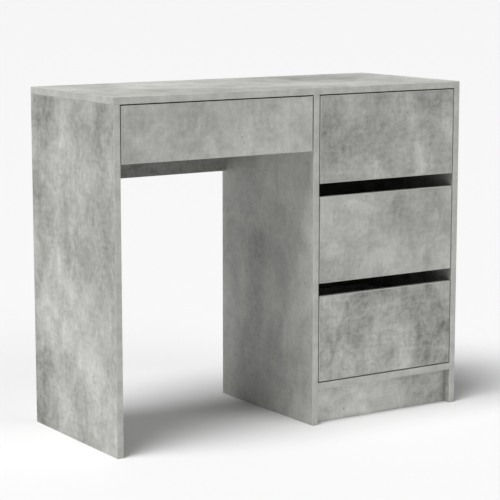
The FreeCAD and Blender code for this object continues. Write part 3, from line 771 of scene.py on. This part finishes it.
def wheel(centre, radius):
    """Roller turned about X, from a closed outline that is the same on both sides, and its wear.

    The tread falls from its middle as the square of the distance along. Each shoulder is a quarter circle.
    The side steps down from the rim into the dish, and up again to the hub.
    """
    half = ROLLER_WIDTH / 2
    along = np.linspace(0, 1, FOLD_STEPS)
    tread = np.stack([(half - ROLLER_SHOULDER) * along, radius - ROLLER_CROWN * along ** 2], -1)
    angle = np.linspace(0, math.pi / 2, FOLD_STEPS)[1:]
    shoulder = np.stack([half - ROLLER_SHOULDER * (1 - np.sin(angle)),
                         radius - ROLLER_CROWN - ROLLER_SHOULDER * (1 - np.cos(angle))], -1)
    dish = half - ROLLER_DISH
    side = np.array([(half, ROLLER_RIM), (dish, ROLLER_RIM - ROLLER_DRAFT), (dish, ROLLER_HUB + ROLLER_DRAFT),
                     (half, ROLLER_HUB), (half, ROLLER_BORE)])
    outline = np.concatenate([tread, shoulder, side])
    outline = np.concatenate([outline, outline[:0:-1] * (-1, 1)])
    wear = (outline[:, 1] > radius - ROLLER_SHOULDER / 2).astype(float)
    return turned(outline, centre, AXES[X]), "ring", wear[:, None]


for drawer in DRAWERS:
    for node in (drawer + "_cabinet_rollers", drawer + "_drawer_rollers"):
        low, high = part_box(node)
        middle = roller_centre(node)
        wheels = [wheel(np.array([x, middle[Y], middle[Z]]), (high.z - low.z) / 2)
                  for x in (low.x + ROLLER_WIDTH / 2, high.x - ROLLER_WIDTH / 2)]
        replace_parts(make_piece(node + "_moulded", wheels, NYLON, node), node)


# ---- drawer fronts ----
# Inset boards of the frame's laminate, banded on all four edges. They have no handles, and are pulled by
# their upper or lower edges through the gaps.

# Each front's lightness was fitted to how bright it looks under this light, so the differences between
# fronts, the upper front's low 0.34 among them, are partly the print's own variation and partly painted light
# and shade.
for drawer, shift, contrast, lightness in (("centre_drawer", (7.3, 0.6, 0.0), 0.62, 0.54),
                                           ("upper_drawer", (9.0, 0.6, 0.9), 0.8, 0.34),
                                           ("middle_drawer", (10.7, 0.6, 1.8), 0.65, 0.48),
                                           ("lower_drawer", (12.4, 0.6, 2.7), 0.95, 0.45)):
    node = drawer + "_front"
    finish_node(node, laminate(node, Y, X, ALONG_Z, shift, contrast, lightness))
    band_board(node, drawer, Y)


# ---- drawer boxes ----
# Sides and backs of 12 mm particle board, all with one plainer print and raw at their ends. The sides butt on
# the front, and the back stands between them on the drawer's bottom.

BOX_BOARD = 0.012
BOX_PRINT = ((2.0, 1.0, 0.5), 0.5, 0.55)                # where it starts, its contrast and its lightness

for drawer in DRAWERS:
    for side in ("left", "right"):
        node = f"{drawer}_{side}_side"
        finish_node(node, laminate(node, X, Y, ALONG_Z, *BOX_PRINT))
    node = drawer + "_back"
    finish_node(node, laminate(node, Y, X, ALONG_X, *BOX_PRINT))


# ---- fixings of the drawers ----
# A cam bolt and disc hold each side to the front. Long screws hold the sides to the back, short ones hold the
# bottom board and the drawer's runners. All are zinc plated.

CAM_REACH = 0.024               # from the front's back face to the disc's middle
CAM_ABOVE_RUNNER = 0.024        # the runner's height, above which a disc sits halfway up the side
DISC_RADIUS = 0.006
DISC_DEPTH = 0.0095
DISC_BEVEL = 0.0003
DISC_SLOT_ARM = 0.001072        # width of its slots at their foot
DISC_SLOT_REACH = 0.0042        # from the disc's middle
DISC_SLOT_DEPTH = 0.0012
DISC_ROWS = 16                  # rings of points on its face
BOLT_PROFILE = ((-0.010, 0.0), (-0.010, 0.0029), (0.0, 0.0029), (0.0, 0.0032), (0.0185, 0.0032),
                (0.0185, 0.0020), (0.0225, 0.0020), (0.0225, 0.0032), (0.0255, 0.0032), (0.0255, 0.0))
BACK_SCREW = (0.045, 0.0025, 0.0045, 0.0030)            # as the runner's screw
BACK_SCREW_INSET = 0.022        # from the back's upper and lower edges
BOTTOM_SCREW = (0.020, 0.00175, 0.0032, 0.0018)
BOTTOM_SCREW_INSET = 0.060      # from the back's ends
BOX_RUNNER_SCREW = (0.0105, 0.00175, 0.0032, 0.0018)
BOX_RUNNER_SCREW_LIFT = 0.0185  # from the box's lower edge
BOX_RUNNER_SCREW_FRONT_INSET = 0.070
BOX_RUNNER_SCREW_REAR_INSET = 0.075


def cam_disc(face, into):
    """Disc from the middle of its slotted face out to a bevelled rim, and down to the middle of its foot."""
    angle = np.arange(ROUND_STEPS)[None, :] * 2 * math.pi / ROUND_STEPS
    out = (DISC_RADIUS - DISC_BEVEL) * np.linspace(0, 1, DISC_ROWS)[:, None] + 0 * angle
    top = DISC_SLOT_DEPTH * cross_recess(out, angle, DISC_SLOT_ARM, DISC_SLOT_REACH)
    rim = np.array([[DISC_BEVEL], [DISC_DEPTH], [DISC_DEPTH]]) + 0 * angle
    rim_radius = np.array([[DISC_RADIUS], [DISC_RADIUS], [0.0]]) + 0 * angle
    along, around = np.concatenate([top, rim]), np.concatenate([out, rim_radius])
    return round_axis(face, into, along, around, angle), "poles", 0.0


for drawer in DRAWERS:
    back_low, back_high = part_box(drawer + "_back")
    back_y = back_high.y - BOX_BOARD / 2
    bottom_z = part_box(drawer + "_bottom")[0].z
    fixings = [screw(np.array([x, back_y, bottom_z]), AXES[Z], *BOTTOM_SCREW)
               for x in (back_low.x + BOTTOM_SCREW_INSET, back_high.x - BOTTOM_SCREW_INSET)]
    for side, inward in SIDES:
        low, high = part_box(f"{drawer}_{side}_side")
        outer, inner = (low.x, high.x) if side == "left" else (high.x, low.x)
        cam_height = (low.z + CAM_ABOVE_RUNNER + high.z) / 2
        bolt_start = np.array([(outer + inner) / 2, low.y, cam_height])
        fixings.append((turned(BOLT_PROFILE, bolt_start, AXES[Y]), "poles", 0.0))
        fixings.append(cam_disc(np.array([inner, low.y + CAM_REACH, cam_height]), -inward))
        for z in (back_low.z + BACK_SCREW_INSET, high.z - BACK_SCREW_INSET):
            fixings.append(screw(np.array([outer, back_y, z]), inward, *BACK_SCREW))
        for y in (low.y + BOX_RUNNER_SCREW_FRONT_INSET, high.y - BOX_RUNNER_SCREW_REAR_INSET):
            seat = np.array([outer - inward[X] * SHEET, y, low.z + BOX_RUNNER_SCREW_LIFT])
            fixings.append(screw(seat, inward, *BOX_RUNNER_SCREW))
    piece = make_piece(drawer + "_fixings_turned", fixings, ZINC, drawer)
    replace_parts(piece, drawer + "_fixings")


# ---- drawer runners ----
# Steel of the same sheet as the channels, folded to a Z under each side of a box: one flange carries the
# box and the other rolls on the cabinet's roller. Each carries a riveted roller at its rear.

for drawer in DRAWERS:
    roller_at = roller_centre(drawer + "_drawer_rollers")
    for side, inward in SIDES:
        node = f"{drawer}_{side}_drawer_runner"
        low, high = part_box(node)
        face = high.x - BOX_BOARD if side == "left" else low.x + BOX_BOARD
        height = high.z - low.z
        half = SHEET / 2
        rail, wear = folded_sheet([(-BOX_BOARD, half), (half, half), (half, height - half),
                                   (FLANGE_REACH, height - half)])
        surfaces = [
            (carried(straight(face, low.y, high.y, low.z), AXES[Z], -inward, rail), "caps", wear),
            rivet(face - inward[X] * SHEET, roller_at, -inward),
        ]
        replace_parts(make_piece(node + "_rail", surfaces, POWDER_COAT, drawer), node)


# ---- floor, light and camera ----
# A pale floor under a white sky, a steep soft sun from the left with a weak one from the front right, and
# the desk seen from the front left through a long lens, which keeps its uprights almost parallel.

FLOOR_REACH = 90.0
FLOOR_COLOR = (0.8, 0.8, 0.8, 1.0)
FLOOR_ROUGHNESS = 0.9
SKY_SEEN = 0.95                 # of the background itself
SKY_LIGHT = 0.2                 # of what the sky sheds on the desk
CAMERA_PLACE = Vector((-2.211, -3.369, 1.024))
LENS_MM = 130.0

floor_mesh = bpy.data.meshes.new("floor")
floor_mesh.from_pydata([(-FLOOR_REACH, -FLOOR_REACH, 0), (FLOOR_REACH, -FLOOR_REACH, 0),
                        (FLOOR_REACH, FLOOR_REACH, 0), (-FLOOR_REACH, FLOOR_REACH, 0)], [], [(0, 1, 2, 3)])
floor = bpy.data.objects.new("floor", floor_mesh)
bpy.context.scene.collection.objects.link(floor)
material, tree, shader = new_material("floor")
shader["Base Color"].default_value = FLOOR_COLOR
shader["Roughness"].default_value = FLOOR_ROUGHNESS
floor_mesh.materials.append(material)
floor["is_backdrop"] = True

world = bpy.data.worlds.new("studio")
world.use_nodes = True
world.node_tree.nodes.clear()
shed = place(world.node_tree, "Background", {"Color": (1, 1, 1, 1), "Strength": SKY_LIGHT})
seen = place(world.node_tree, "Background", {"Color": (1, 1, 1, 1), "Strength": SKY_SEEN})
ray = place(world.node_tree, "LightPath").outputs["Is Camera Ray"]
sky = place(world.node_tree, "MixShader", {0: ray, 1: shed.outputs[0], 2: seen.outputs[0]})
place(world.node_tree, "OutputWorld", {"Surface": sky.outputs[0]})
bpy.context.scene.world = world


def add_sun(name, azimuth, elevation, softness, energy):
    """Sun at an azimuth and an elevation, in degrees; azimuth 0 is in front and 90 at the desk's right.

    Its direction is sin a cos e, -cos a cos e, sin e.
    """
    sun = bpy.data.lights.new(name, "SUN")
    sun.energy = energy
    sun.angle = math.radians(softness)
    azimuth, elevation = math.radians(azimuth), math.radians(elevation)
    towards = Vector((math.sin(azimuth) * math.cos(elevation), -math.cos(azimuth) * math.cos(elevation),
                      math.sin(elevation)))
    lamp = bpy.data.objects.new(name, sun)
    lamp.rotation_mode = "QUATERNION"
    lamp.rotation_quaternion = (-towards).to_track_quat("-Z", "Y")
    bpy.context.scene.collection.objects.link(lamp)


add_sun("key", azimuth=-80, elevation=66, softness=30, energy=3.1)
add_sun("front_fill", azimuth=20, elevation=40, softness=40, energy=0.5)

camera_data = bpy.data.cameras.new("camera")
camera_data.lens = LENS_MM
camera = bpy.data.objects.new("camera", camera_data)
bpy.context.scene.collection.objects.link(camera)
camera.location = CAMERA_PLACE
camera.rotation_mode = "QUATERNION"
camera.rotation_quaternion = ((cad_low + cad_high) / 2 - CAMERA_PLACE).to_track_quat("-Z", "Y")
bpy.context.scene.camera = camera
bpy.context.scene.view_settings.view_transform = "Standard"

low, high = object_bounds()
